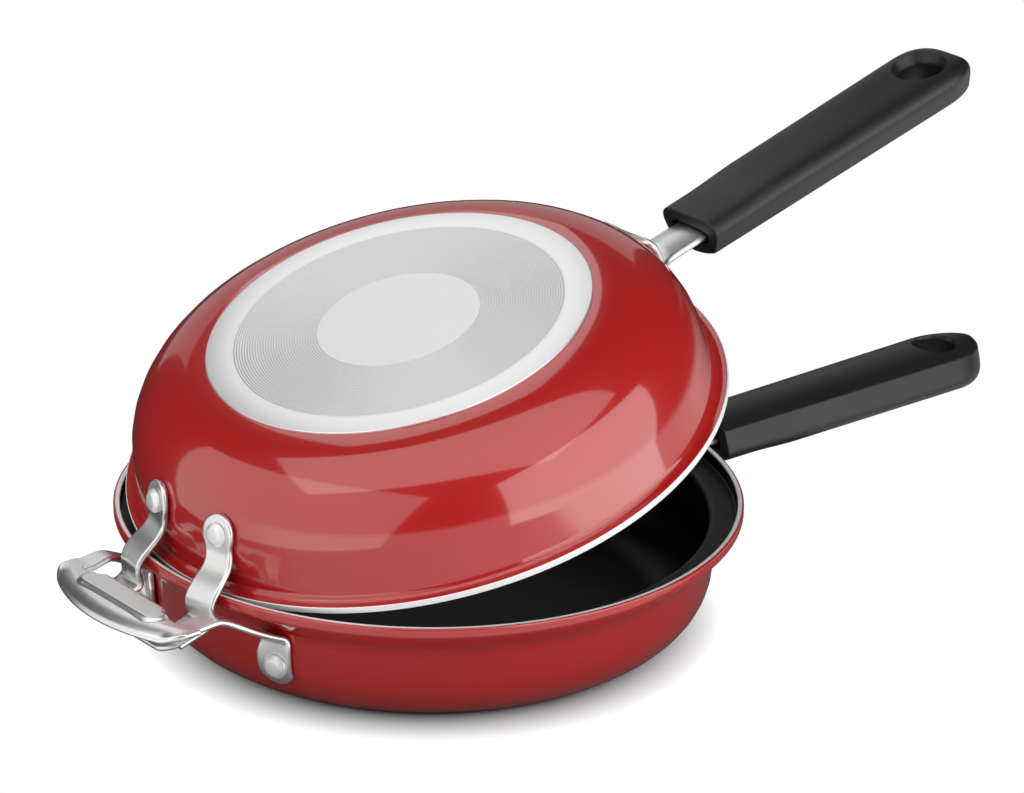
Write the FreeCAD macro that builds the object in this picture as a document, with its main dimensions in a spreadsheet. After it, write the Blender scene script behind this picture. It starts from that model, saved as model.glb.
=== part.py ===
"""Two-piece frittata pan: two frying pans whose helper handles interlock, and whose rims hinge.

The lower pan stands on the floor at z = 0. The upper pan is drawn closed, upside down
on the lower one, and its sub-parts are then turned open about the hinge line.
"""
import math
import os

import FreeCAD
import Part
import Sketcher

Vector = FreeCAD.Vector
Rotation = FreeCAD.Rotation

SIZES = {
    # Both pans
    "rim_radius": 127.0,
    "wall": 2.8,
    "base_step": 0.8,
    "cut_overrun": 10.0,
    # Lower pan
    "lower_depth": 51.5,
    "lower_bend_share": 0.497,
    "lower_draft": 1.3,
    "lower_disc_inset": 9.8,
    "lip_width": 2.6,
    "ledge_drop": 5.3,
    "step_bend": 3.0,
    "step_width": 11.5,
    # Upper pan
    "upper_depth": 52.1,
    "upper_bend_share": 0.7332,
    "upper_draft": 8.0,
    "upper_disc_inset": 0.3,
    "upper_flare": 3.0,
    "upper_rim_land": 2.13,
    "nest_clearance": 1.2,
    "seat_gap": 0.3,
    # Hinge
    "hinge_inset": 1.0,
    "hinge_rise": 11.25,
    "open_angle": 16.2,
    # Helper handles
    "helper_gauge": 2.5,
    "helper_seat": 0.1,
    "pad_start_angle": 35.0,
    "lower_pad_radius": 9.5,
    "lower_pad_rise": 24.0,
    "lower_pad_side": 42.5,
    "plate_gap": 12.0,
    "plate_drop": 4.5,
    "plate_length": 19.0,
    "plate_lip": 5.0,
    "plate_lip_drop": 4.0,
    "plate_half_width": 42.0,
    "plate_corner": 13.0,
    "panel_inset": 5.0,
    "panel_rise": 0.8,
    "member_width": 9.0,
    "member_root_inset": 23.0,
    "member_root_lift": 3.4,
    "member_knee_inset": 3.0,
    "member_knee_drop": 6.4,
    "member_peak_gap": 7.0,
    "member_peak_lift": 1.6,
    "upper_pad_radius": 7.8,
    "upper_pad_rise": 25.0,
    "upper_pad_side": 20.0,
    "strap_width": 15.0,
    "strap_slope": 25.0,
    "strap_gap": 5.5,
    "strap_knee_bend": 7.0,
    "strap_knee_drop": 1.7,
    "hook_clearance": 0.3,
    "hook_plate_length": 18.0,
    "hook_plate_half_width": 30.0,
    "hook_plate_corner": 8.0,
    # Long handles
    "parting_drop": 3.5,
    "parting_gap": 0.6,
    "grip_gap": 21.5,
    "grip_length": 165.0,
    "grip_front_width": 35.0,
    "grip_end_width": 40.0,
    "grip_crown": 4.4,
    "grip_depth": 14.0,
    "grip_corner": 17.0,
    "hang_hole_radius": 9.5,
    "hang_hole_inset": 27.5,
    "tang_gauge": 3.0,
    "tang_width": 19.0,
    "tang_insert": 45.0,
    "tang_clearance": 0.15,
    "tang_offset": 9.5,
    "boss_radius": 4.5,
    "boss_length": 14.0,
    "flange_width": 34.0,
    "flange_height": 18.0,
    "flange_rivet_side": 11.0,
    "flange_rivet_share": 0.445,
    # Fasteners
    "rivet_shank_radius": 2.5,
    "rivet_clearance": 0.1,
    "rivet_seat": 0.15,
    "rivet_inner_seat": 0.45,
    "rivet_inner_head_radius": 4.2,
    "rivet_inner_head_height": 1.8,
    "lower_helper_head_radius": 4.8,
    "upper_helper_head_radius": 4.4,
    "handle_head_radius": 4.2,
    "rivet_head_height": 2.6,
    "screw_radius": 2.4,
    "screw_head_radius": 4.0,
    "screw_head_height": 4.0,
    "screw_engagement": 10.0,
    "screw_head_recess": 3.0,
}


class Size:
    """A length with its value and the sheet expression that it is bound to."""

    def __init__(self, value, text):
        self.value = value
        self.text = text

    @staticmethod
    def of(thing):
        """A plain number as a Size, or the Size itself."""
        if isinstance(thing, Size):
            return thing
        return Size(float(thing), repr(float(thing)))

    def __add__(self, other):
        other = Size.of(other)
        return Size(self.value + other.value, f"({self.text} + {other.text})")

    def __sub__(self, other):
        other = Size.of(other)
        return Size(self.value - other.value, f"({self.text} - {other.text})")

    def __mul__(self, other):
        other = Size.of(other)
        return Size(self.value * other.value, f"({self.text} * {other.text})")

    def __truediv__(self, other):
        other = Size.of(other)
        return Size(self.value / other.value, f"({self.text} / {other.text})")

    def __neg__(self):
        return Size(-self.value, f"(0 - {self.text})")

    __radd__ = __add__
    __rmul__ = __mul__

    def cos(self):
        return Size(math.cos(math.radians(self.value)), f"cos({self.text})")

    def sin(self):
        return Size(math.sin(math.radians(self.value)), f"sin({self.text})")

    def tan(self):
        return Size(math.tan(math.radians(self.value)), f"tan({self.text})")

    def asin(self):
        return Size(math.degrees(math.asin(self.value)), f"asin({self.text})")


class Sheet:
    """The spreadsheet, with each alias as an attribute that holds a Size."""

    def __init__(self, doc):
        self.cells = doc.addObject("Spreadsheet::Sheet", "Sizes")
        for row, (alias, value) in enumerate(SIZES.items(), start=1):
            self.cells.set(f"A{row}", alias)
            self.cells.set(f"B{row}", str(value))
            self.cells.setAlias(f"B{row}", alias)
            setattr(self, alias, Size(value, f"Sizes.{alias}"))


doc = FreeCAD.newDocument("FrittataPan")
S = Sheet(doc)
ZERO = Size(0.0, "0")


def bind(thing, **properties):
    """Bind properties of a document object to sheet expressions."""
    for name, size in properties.items():
        size = Size.of(size)
        thing.setExpression(name, size.text)
    return thing


def place(thing, x=ZERO, y=ZERO, z=ZERO, rotation=Rotation()):
    """Give a document object its rotation, and its position by expressions."""
    x, y, z = Size.of(x), Size.of(y), Size.of(z)
    thing.Placement = FreeCAD.Placement(Vector(x.value, y.value, z.value), rotation)
    for axis, size in (("x", x), ("y", y), ("z", z)):
        thing.setExpression(f"Placement.Base.{axis}", size.text)
    return thing


def add(kind, name):
    return doc.addObject(kind, name)


def arc_of(start, end, radius, turn):
    """The shorter arc from start to end, with turn +1 anticlockwise and -1 clockwise."""
    first, last = (start, end) if turn > 0 else (end, start)
    chord = last - first
    half = chord.Length / 2
    height = math.sqrt(max(radius * radius - half * half, 0.0))
    side = Vector(-chord.y, chord.x, 0).normalize()
    centre = first + chord / 2 + side * height
    angles = [math.atan2(point.y - centre.y, point.x - centre.x) for point in (first, last)]
    return Part.ArcOfCircle(Part.Circle(centre, Vector(0, 0, 1), radius), *angles)


def draw(sketch, corners, closed=True):
    """Draw an outline through corners, each bound to the sheet.

    A corner is (x, y), or (x, y, radius, turn) where the edge that leaves it is an arc.
    """
    ends = []
    corners = [tuple(Size.of(part) for part in corner[:3]) + tuple(corner[3:]) for corner in corners]
    points = [Vector(corner[0].value, corner[1].value, 0) for corner in corners]
    edge_count = len(corners) if closed else len(corners) - 1
    for index in range(edge_count):
        corner = corners[index]
        start = points[index]
        end = points[(index + 1) % len(points)]
        if len(corner) == 2:
            edge = sketch.addGeometry(Part.LineSegment(start, end))
            ends.append((edge, 1, 2))
            continue
        radius, turn = corner[2], corner[3]
        edge = sketch.addGeometry(arc_of(start, end, radius.value, turn))
        ends.append((edge, 1, 2) if turn > 0 else (edge, 2, 1))
        constrain(sketch, radius, "Radius", edge)
    for index in range(edge_count - (0 if closed else 1)):
        edge, _, last = ends[index]
        following, first, _ = ends[(index + 1) % edge_count]
        sketch.addConstraint(Sketcher.Constraint("Coincident", edge, last, following, first))
    held = [(ends[index][0], ends[index][1]) for index in range(edge_count)]
    if not closed:
        held.append((ends[-1][0], ends[-1][2]))
    for (edge, point), corner in zip(held, corners):
        for name, axis, size in (("DistanceX", -2, corner[0]), ("DistanceY", -1, corner[1])):
            if size.text == "0" or size.value == 0:
                sketch.addConstraint(Sketcher.Constraint("PointOnObject", edge, point, axis))
            else:
                constrain(sketch, size, name, -1, 1, edge, point)
    return sketch


def constrain(sketch, size, kind, *where):
    """Add one dimension to a sketch and bind it to the sheet."""
    index = sketch.addConstraint(Sketcher.Constraint(kind, *where, size.value))
    sketch.setExpression(f"Constraints[{index}]", size.text)


UPRIGHT = Rotation(Vector(1, 0, 0), 90)
FACING_X = Rotation(Vector(1, 1, 1), 120)


def origin_plane(body, role):
    return next(feature for feature in body.Origin.OriginFeatures if feature.Role == role)


def turned(name, corners):
    """A body that turns an outline of (radius, height) corners about the Z axis."""
    body = add("PartDesign::Body", name)
    sketch = body.newObject("Sketcher::SketchObject", name + "_outline")
    sketch.AttachmentSupport = [(origin_plane(body, "XZ_Plane"), "")]
    sketch.MapMode = "FlatFace"
    draw(sketch, corners)
    turn = body.newObject("PartDesign::Revolution", name + "_turn")
    turn.Profile = sketch
    turn.ReferenceAxis = (sketch, ["V_Axis"])
    turn.Angle = 360
    body.Tip = turn
    return body


def ribbon(name, route, gauge, low_side, high_side):
    """Bent sheet metal: a route of (x, z) corners given a gauge, from low_side to high_side in Y."""
    sketch = add("Sketcher::SketchObject", name + "_route")
    sketch.Placement = FreeCAD.Placement(Vector(), UPRIGHT)
    draw(sketch, route, closed=False)
    strip = add("Part::Offset2D", name + "_strip")
    strip.Source = sketch
    strip.Mode = "Pipe"
    strip.Join = "Arc"
    strip.Fill = True
    bind(strip, Value=gauge / 2)
    return extruded(name, strip, low_side, high_side - low_side, Vector(0, 1, 0))


def extruded(name, source, start, length, direction):
    """A solid made from a flat shape, from start to start + length along a direction."""
    solid = add("Part::Extrusion", name)
    solid.Base = source
    solid.DirMode = "Custom"
    solid.Dir = direction
    solid.Solid = True
    bind(solid, LengthFwd=start + length, LengthRev=-start)
    return solid


def cylinder(name, radius, length, x=ZERO, y=ZERO, z=ZERO, rotation=Rotation()):
    solid = bind(add("Part::Cylinder", name), Radius=radius, Height=length)
    return place(solid, x, y, z, rotation)


def box(name, length, width, height, x, y, z):
    solid = bind(add("Part::Box", name), Length=length, Width=width, Height=height)
    return place(solid, x, y, z)


def fuse(name, *shapes):
    result = add("Part::MultiFuse", name)
    result.Shapes = list(shapes)
    return result


def common(name, base, tool):
    result = add("Part::Common", name)
    result.Base = base
    result.Tool = tool
    return result


def cut(name, base, *tools):
    result = add("Part::Cut", name)
    result.Base = base
    result.Tool = tools[0] if len(tools) == 1 else fuse(name + "_cuts", *tools)
    return result


class Pan:
    """One pan's wall, measured by rise: the distance from its base towards its rim."""

    def __init__(self, name, depth, bend, draft, top, disc_inset, base_level, direction):
        """top is the (radius, rise) where the wall's straight outer face ends, below the rim."""
        self.name = name
        self.depth = depth
        self.bend = bend
        self.draft = draft
        self.top_radius, self.top_rise = top
        self.base_level = base_level
        self.direction = direction
        self.foot = S.base_step + bend - bend * draft.sin()
        self.base_radius = self.wall_radius(self.foot) - bend * draft.cos()
        self.disc_radius = self.base_radius - disc_inset

    def level(self, rise):
        """The height of a place at a rise."""
        return self.base_level + rise if self.direction > 0 else self.base_level - rise

    def on_bend(self, angle, offset):
        """The (radius, rise) on the bottom bend, at an angle below level and an offset outwards."""
        reach = self.bend + offset
        return self.base_radius + reach * angle.cos(), S.base_step + self.bend - reach * angle.sin()

    def wall_radius(self, rise, offset=ZERO):
        """The wall's radius at a rise, with an offset square to its outer face."""
        return self.top_radius - (self.top_rise - rise) * self.draft.tan() + offset / self.draft.cos()

    def turned(self, name, corners):
        """Turn an outline of (radius, rise) corners about the pan's axis."""
        mapped = []
        for radius, rise, *arc in corners:
            bend = (arc[0], arc[1] * self.direction) if arc else ()
            mapped.append((radius, self.level(rise), *bend))
        return turned(name, mapped)

    def base_outline(self):
        """The corners from the centre of the base to the foot of the wall, outside."""
        return [(ZERO, ZERO), (self.disc_radius, ZERO), (self.disc_radius, S.base_step),
                (self.base_radius, S.base_step, self.bend, 1), self.on_bend(self.draft, ZERO)]

    def inside_outline(self):
        """The corners from the foot of the wall back to the centre, inside."""
        return [(*self.on_bend(self.draft, -S.wall), self.bend - S.wall, -1),
                (self.base_radius, S.base_step + S.wall), (ZERO, S.base_step + S.wall)]

    def wall_tool(self):
        """A solid that fills the pan's wall, to trim what seats on the wall."""
        low, high = self.on_bend(self.draft, ZERO)[1], self.depth
        radii = [self.wall_radius(rise, S.helper_seat) for rise in (low, high)]
        heights = [self.level(rise) for rise in (low, high)]
        if self.direction < 0:
            radii.reverse()
            heights.reverse()
        tool = add("Part::Cone", self.name + "_wall_tool")
        bind(tool, Radius1=radii[0], Radius2=radii[1], Height=heights[1] - heights[0])
        return place(tool, z=heights[0])

    def skin(self, name, gauge, top_rise):
        """A thin ring that lies on the outside of the wall and of the bottom bend."""
        inner, outer = S.helper_seat, S.helper_seat + gauge
        corners = [(*self.on_bend(S.pad_start_angle, inner), self.bend + inner, 1),
                   self.on_bend(self.draft, inner),
                   (self.wall_radius(top_rise, inner), top_rise),
                   (self.wall_radius(top_rise, outer), top_rise),
                   (*self.on_bend(self.draft, outer), self.bend + outer, -1),
                   self.on_bend(S.pad_start_angle, outer)]
        return self.turned(name, corners)

    def outside(self, rise):
        """The outer face's radius at a rise, and the angle below level that it faces there."""
        if rise.value >= self.foot.value:
            return self.wall_radius(rise), self.draft
        lean = ((S.base_step + self.bend - rise) / self.bend).asin()
        return self.on_bend(lean, ZERO)[0], lean

    def seat(self, rise, side, end, offset):
        """The place and rotation of a fastener's axis, square to the outer face, at an offset outwards.

        side is its distance from the X axis, and end is +1 at the long handle, -1 at the helper.
        """
        radius, lean = self.outside(rise)
        angle = (side / radius).asin()
        reach = radius + offset * lean.cos()
        yaw = angle.value if end > 0 else 180 - angle.value
        rotation = Rotation(yaw, 90 + self.direction * lean.value, 0)
        height = self.level(rise - offset * lean.sin())
        return reach * angle.cos() * end, reach * angle.sin(), height, rotation


LEDGE = S.lower_depth - S.ledge_drop
LIP_RADIUS = S.rim_radius - S.lip_width
LOWER_WALL_TOP = (S.rim_radius - S.step_width, LEDGE - S.wall - S.step_bend)
LOWER = Pan("lower", S.lower_depth, S.lower_depth * S.lower_bend_share, S.lower_draft, LOWER_WALL_TOP,
            S.lower_disc_inset, ZERO, 1)
UPPER_RIM_LEVEL = LEDGE + S.seat_gap
UPPER_RIM_RADIUS = LIP_RADIUS - S.nest_clearance
FLARE_RADIUS = UPPER_RIM_RADIUS - S.upper_rim_land
FLARE_RISE = S.upper_depth - S.wall - S.upper_flare
UPPER_WALL_TOP = (FLARE_RADIUS - S.upper_flare * S.upper_draft.cos(),
                  FLARE_RISE + S.upper_flare * S.upper_draft.sin())
UPPER = Pan("upper", S.upper_depth, S.upper_depth * S.upper_bend_share, S.upper_draft, UPPER_WALL_TOP,
            S.upper_disc_inset, UPPER_RIM_LEVEL + S.upper_depth, -1)
HINGE_REACH = UPPER_RIM_RADIUS - S.hinge_inset
HINGE_LEVEL = UPPER_RIM_LEVEL + S.hinge_rise
PLATE_REACH = S.rim_radius + S.plate_gap
PLATE_LEVEL = S.lower_depth - S.plate_drop
PARTING = S.lower_depth - S.parting_drop
GRIP_FRONT = S.rim_radius + S.grip_gap
HANDS = (("left", 1), ("right", -1))
ALONG_X = Rotation(Vector(0, 1, 0), 90)


def opening():
    """The turn about the hinge line that opens the upper pan from closed."""
    turn = Rotation(Vector(0, -1, 0), S.open_angle.value)
    return FreeCAD.Placement(Vector(), turn, Vector(-HINGE_REACH.value, 0, HINGE_LEVEL.value))


def finish(pan, piece, label):
    """Name a sub-part, and turn it open with the upper pan where it belongs to that."""
    piece.Label = f"{pan.name}_{label}"
    if pan is UPPER:
        for axis in "xyz":
            piece.setExpression(f"Placement.Base.{axis}", None)
        piece.Placement = opening().multiply(piece.Placement)
    return piece


def wall_hole(pan, name, rise, side, end, radius):
    """A tool that cuts a hole square to the wall, through the wall and what seats on it."""
    inner = S.wall + S.cut_overrun
    outer = S.helper_seat + S.tang_gauge + S.cut_overrun
    return cylinder(name, radius, inner + outer, *pan.seat(rise, side, end, -inner))


def rivet_holes(pan, name, rise, side, end):
    """Two hole tools, one on each side of the X axis."""
    radius = S.rivet_shank_radius + S.rivet_clearance
    return [wall_hole(pan, f"{name}_{hand}", rise, side * sign, end, radius) for hand, sign in HANDS]


def cap_radius(half, height):
    """The radius of the arc that rises by height over a half chord."""
    return (half * half + height * height) / (height * 2)


def rivet(pan, label, rise, side, end, gauge, head_radius):
    """A rivet through the wall and a sheet, with a domed head on each side."""
    inner = -(S.wall + S.rivet_inner_seat)
    outer = S.helper_seat + gauge + S.rivet_seat
    inner_dome = cap_radius(S.rivet_inner_head_radius, S.rivet_inner_head_height)
    corners = [(ZERO, inner - S.rivet_inner_head_height, inner_dome, 1), (S.rivet_inner_head_radius, inner),
               (S.rivet_shank_radius, inner), (S.rivet_shank_radius, outer),
               (head_radius, outer, cap_radius(head_radius, S.rivet_head_height), 1),
               (ZERO, outer + S.rivet_head_height)]
    body = turned(f"{pan.name}_{label}_body", corners)
    place(body, *pan.seat(rise, side, end, ZERO))
    return finish(pan, body, label)


def lower_shell():
    """The lower pan: a deep wall, stepped out below the rim to seat the upper pan."""
    under = LEDGE - S.wall
    outer, wall_top = LOWER_WALL_TOP
    inner = LOWER.wall_radius(wall_top, -S.wall)
    rim = [(outer, wall_top, S.step_bend, -1), (outer + S.step_bend, under),
           (S.rim_radius - S.step_bend, under, S.step_bend, 1), (S.rim_radius, under + S.step_bend),
           (S.rim_radius, S.lower_depth), (LIP_RADIUS, S.lower_depth), (LIP_RADIUS, LEDGE),
           (inner + S.step_bend, LEDGE, S.step_bend, 1), (inner, LEDGE - S.step_bend)]
    return LOWER.turned("lower_shell", LOWER.base_outline() + rim + LOWER.inside_outline())


def upper_shell():
    """The upper pan: a sloping wall that flares to a flat rim."""
    face = S.upper_depth - S.wall
    inside = S.upper_flare + S.wall
    rim = [(*UPPER_WALL_TOP, S.upper_flare, -1), (FLARE_RADIUS, face), (UPPER_RIM_RADIUS, face),
           (UPPER_RIM_RADIUS, S.upper_depth), (FLARE_RADIUS, S.upper_depth, inside, 1),
           (FLARE_RADIUS - inside * S.upper_draft.cos(), FLARE_RISE + inside * S.upper_draft.sin())]
    return UPPER.turned("upper_shell", UPPER.base_outline() + rim + UPPER.inside_outline())


def plate_blank(name, start, end, half_width, corner, low, high):
    """A prism over a plate's outline, whose far corners are rounded. start and end are reaches along -X."""
    sketch = add("Sketcher::SketchObject", name + "_outline")
    shoulder = end - corner
    draw(sketch, [(-start, half_width), (-shoulder, half_width, corner, 1), (-end, half_width - corner),
                  (-end, corner - half_width, corner, 1), (-shoulder, -half_width), (-start, -half_width)])
    return extruded(name, sketch, low, high - low, Vector(0, 0, 1))


def pads(pan, skin, rise, side, radius):
    """Two round ears of the skin, where the helper handle is riveted to the wall."""
    ears = []
    for hand, sign in HANDS:
        tool = wall_hole(pan, f"{pan.name}_pad_{hand}_tool", rise, side * sign, -1, radius)
        ears.append(common(f"{pan.name}_pad_{hand}", skin, tool))
    return ears


def lower_helper(rise, holes, wall_tool):
    """The lower helper handle: a plate on two side members, open towards the pan."""
    skin = LOWER.skin("lower_helper_skin", S.helper_gauge, S.lower_pad_rise + S.lower_pad_radius)
    pieces = pads(LOWER, skin, rise, S.lower_pad_side, S.lower_pad_radius)
    edge = -PLATE_REACH
    flat_end = PLATE_REACH + S.plate_length
    outer_edge = flat_end + S.plate_lip
    member = [(S.member_root_inset - S.rim_radius, S.lower_pad_rise + S.member_root_lift),
              (S.member_knee_inset - S.rim_radius, PLATE_LEVEL - S.member_knee_drop),
              (-(S.rim_radius + S.member_peak_gap), PLATE_LEVEL + S.member_peak_lift),
              (edge - S.helper_gauge, PLATE_LEVEL), (edge - S.plate_length / 2, PLATE_LEVEL)]
    inner = S.plate_half_width - S.member_width
    pieces.append(ribbon("lower_member_left", member, S.helper_gauge, inner, S.plate_half_width))
    pieces.append(ribbon("lower_member_right", member, S.helper_gauge, -S.plate_half_width, -inner))
    lip_level = PLATE_LEVEL - S.plate_lip_drop
    plate_route = [(edge, PLATE_LEVEL), (-flat_end, PLATE_LEVEL), (-outer_edge, lip_level)]
    plate = ribbon("lower_plate_sheet", plate_route, S.helper_gauge, -S.plate_half_width, S.plate_half_width)
    blank = plate_blank("lower_plate_blank", S.rim_radius, outer_edge + S.helper_gauge, S.plate_half_width,
                        S.plate_corner, ZERO, PLATE_LEVEL + S.cut_overrun)
    pieces.append(common("lower_plate", plate, blank))
    panel_top = PLATE_LEVEL + S.helper_gauge / 2 + S.panel_rise
    pieces.append(plate_blank("lower_plate_panel", PLATE_REACH + S.panel_inset, flat_end,
                              S.plate_half_width - S.member_width, S.panel_inset, PLATE_LEVEL, panel_top))
    return cut("lower_helper", fuse("lower_helper_sheet", *pieces), wall_tool, *holes)


def upper_helper(rise, holes, wall_tool):
    """The upper helper handle: two straps over the lower rim, which hook under the lower plate."""
    strap_reach = S.rim_radius + S.strap_gap
    knee_level = S.lower_depth - S.strap_knee_drop
    knee_x = S.strap_knee_bend - S.strap_knee_bend * S.strap_slope.sin() - strap_reach
    knee_z = knee_level + S.strap_knee_bend * S.strap_slope.cos()
    root_x = S.helper_gauge / 2 - UPPER.wall_radius(UPPER.foot)
    root_z = knee_z + (root_x - knee_x) * S.strap_slope.tan()
    stem_z = root_z - S.helper_gauge
    skin = UPPER.skin("upper_helper_skin", S.helper_gauge, UPPER.base_level - stem_z)
    pieces = pads(UPPER, skin, rise, S.upper_pad_side, S.upper_pad_radius)
    end = PLATE_REACH + S.hook_plate_length
    hook_bend = S.helper_gauge + S.hook_clearance
    under = PLATE_LEVEL - hook_bend
    hook = [(-strap_reach, PLATE_LEVEL, hook_bend, -1), (-(strap_reach + hook_bend), under), (-end, under)]
    strap = [(root_x, root_z), (knee_x, knee_z, S.strap_knee_bend, 1), (-strap_reach, knee_level)] + hook
    for hand, sign in HANDS:
        near = S.upper_pad_side * sign - S.strap_width / 2
        pieces.append(ribbon(f"upper_strap_{hand}", strap, S.helper_gauge, near, near + S.strap_width))
        window = box(f"upper_stem_{hand}_window", S.rim_radius, S.strap_width, UPPER.level(rise) - stem_z,
                     -S.rim_radius, near, stem_z)
        pieces.append(common(f"upper_stem_{hand}", skin, window))
    half = S.hook_plate_half_width
    blank = plate_blank("upper_hook_blank", S.rim_radius, end, half, S.hook_plate_corner, ZERO, PLATE_LEVEL)
    pieces.append(common("upper_hook", ribbon("upper_hook_sheet", hook, S.helper_gauge, -half, half), blank))
    return cut("upper_helper", fuse("upper_helper_sheet", *pieces), wall_tool, *holes)


def away(pan, distance):
    """A height that lies a distance from the parting plane, on a pan's own side."""
    return PARTING - distance if pan is LOWER else PARTING + distance


def bracket(pan, holes, wall_tool):
    """The long handle's steel tang, with a flange on the wall and a tapped boss in the grip."""
    tang_level = away(pan, S.tang_offset)
    far_edge = away(pan, S.tang_offset + S.flange_height)
    near_edge = away(pan, S.tang_offset - S.tang_gauge / 2)
    skin = pan.skin(f"{pan.name}_flange_skin", S.tang_gauge, (near_edge - pan.base_level) * pan.direction)
    low_edge = far_edge if pan is LOWER else near_edge
    window_height = S.flange_height + S.tang_gauge / 2
    window = box(f"{pan.name}_flange_window", S.rim_radius, S.flange_width, window_height,
                 ZERO, -S.flange_width / 2, low_edge)
    flange = common(f"{pan.name}_flange", skin, window)
    end = GRIP_FRONT + S.tang_insert
    strip = box(f"{pan.name}_strip", end - pan.base_radius, S.tang_width, S.tang_gauge, pan.base_radius,
                -S.tang_width / 2, tang_level - S.tang_gauge / 2)
    boss_start = end - S.boss_length
    boss = cylinder(f"{pan.name}_boss", S.boss_radius, S.boss_length, boss_start, ZERO, tang_level, ALONG_X)
    tap = cylinder(f"{pan.name}_tap", S.screw_radius + S.rivet_clearance, S.boss_length + S.cut_overrun,
                   boss_start, ZERO, tang_level, ALONG_X)
    steel = fuse(f"{pan.name}_bracket_steel", flange, strip, boss)
    return cut(f"{pan.name}_bracket", steel, wall_tool, tap, *holes)


def grip_section(pan, name, reach, width):
    """A grip's cross-section: a shallow crown on the mating side, and a deep round back."""
    crease = away(pan, S.parting_gap / 2 + S.grip_crown)
    half = width / 2
    crown = cap_radius(half, S.grip_crown)
    back = cap_radius(half, S.grip_depth)
    below, above = (back, crown) if pan is LOWER else (crown, back)
    sketch = add("Sketcher::SketchObject", name)
    place(sketch, x=reach, rotation=FACING_X)
    return draw(sketch, [(-half, crease, below, 1), (half, crease, above, 1)])


def grip(pan):
    """A moulded grip with a rounded end, a hang hole, and a socket for the tang and its screw."""
    end = GRIP_FRONT + S.grip_length
    hang = end - S.hang_hole_inset
    level = away(pan, S.tang_offset)
    socket_end = GRIP_FRONT + S.tang_insert + S.tang_clearance
    bar = add("Part::Loft", f"{pan.name}_grip_bar")
    bar.Sections = [grip_section(pan, f"{pan.name}_grip_front", GRIP_FRONT, S.grip_front_width),
                    grip_section(pan, f"{pan.name}_grip_end", end, S.grip_end_width)]
    bar.Solid = True
    bar.Ruled = True
    half = S.grip_end_width / 2
    shoulder = end - S.grip_corner
    sketch = add("Sketcher::SketchObject", f"{pan.name}_grip_plan_outline")
    draw(sketch, [(GRIP_FRONT, -half), (shoulder, -half, S.grip_corner, 1), (end, S.grip_corner - half),
                  (end, half - S.grip_corner, S.grip_corner, 1), (shoulder, half), (GRIP_FRONT, half)])
    plan = extruded(f"{pan.name}_grip_plan", sketch, ZERO, UPPER.base_level, Vector(0, 0, 1))
    slot_width = S.tang_width + S.tang_clearance + S.tang_clearance
    slot_height = S.tang_gauge + S.tang_clearance + S.tang_clearance
    start = GRIP_FRONT - S.cut_overrun
    slot = box(f"{pan.name}_tang_slot", socket_end - start, slot_width, slot_height, start,
               -slot_width / 2, level - slot_height / 2)
    bores = [("boss", S.boss_radius, start, socket_end), ("screw", S.screw_radius, GRIP_FRONT, hang),
             ("head", S.screw_head_radius, screw_seat(), hang)]
    tools = [slot, cylinder(f"{pan.name}_hang_hole", S.hang_hole_radius, UPPER.base_level, hang)]
    for name, radius, low, high in bores:
        bore_radius = radius + S.tang_clearance
        tools.append(cylinder(f"{pan.name}_{name}_bore", bore_radius, high - low, low, ZERO, level, ALONG_X))
    return cut(f"{pan.name}_grip_moulding", common(f"{pan.name}_grip_blank", bar, plan), *tools)


def screw_seat():
    """The reach at which the grip screw's head seats, inside the hang hole's wall."""
    hang = GRIP_FRONT + S.grip_length - S.hang_hole_inset
    return hang - S.hang_hole_radius - S.screw_head_recess - S.screw_head_height


def grip_screw(pan):
    """The long screw that draws the grip onto the tang."""
    tip = GRIP_FRONT + S.tang_insert - S.screw_engagement
    shank = screw_seat() + S.tang_clearance - tip
    top = shank + S.screw_head_height
    corners = [(ZERO, ZERO), (S.screw_radius, ZERO), (S.screw_radius, shank),
               (S.screw_head_radius, shank), (S.screw_head_radius, top), (ZERO, top)]
    body = turned(f"{pan.name}_screw_body", corners)
    return place(body, tip, ZERO, away(pan, S.tang_offset), ALONG_X)


def build(pan, shell, helper, pad_rise, pad_side, head_radius):
    """All the sub-parts of one pan."""
    tang_rise = (away(pan, S.tang_offset + S.tang_gauge / 2) - pan.base_level) * pan.direction
    handle_rise = tang_rise - S.flange_height * S.flange_rivet_share
    helper_holes = rivet_holes(pan, f"{pan.name}_helper_hole", pad_rise, pad_side, -1)
    handle_holes = rivet_holes(pan, f"{pan.name}_handle_hole", handle_rise, S.flange_rivet_side, 1)
    wall_tool = pan.wall_tool()
    pieces = [finish(pan, cut(f"{pan.name}_pan_metal", shell, *helper_holes, *handle_holes), "pan"),
              finish(pan, helper(pad_rise, helper_holes, wall_tool), "helper_handle"),
              finish(pan, bracket(pan, handle_holes, wall_tool), "handle_bracket"),
              finish(pan, grip(pan), "grip"),
              finish(pan, grip_screw(pan), "grip_screw")]
    seats = [("helper", pad_rise, pad_side, -1, S.helper_gauge, head_radius),
             ("handle", handle_rise, S.flange_rivet_side, 1, S.tang_gauge, S.handle_head_radius)]
    for where, rise, side, end, gauge, radius in seats:
        for hand, sign in HANDS:
            pieces.append(rivet(pan, f"{where}_rivet_{hand}", rise, side * sign, end, gauge, radius))
    return pieces


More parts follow.
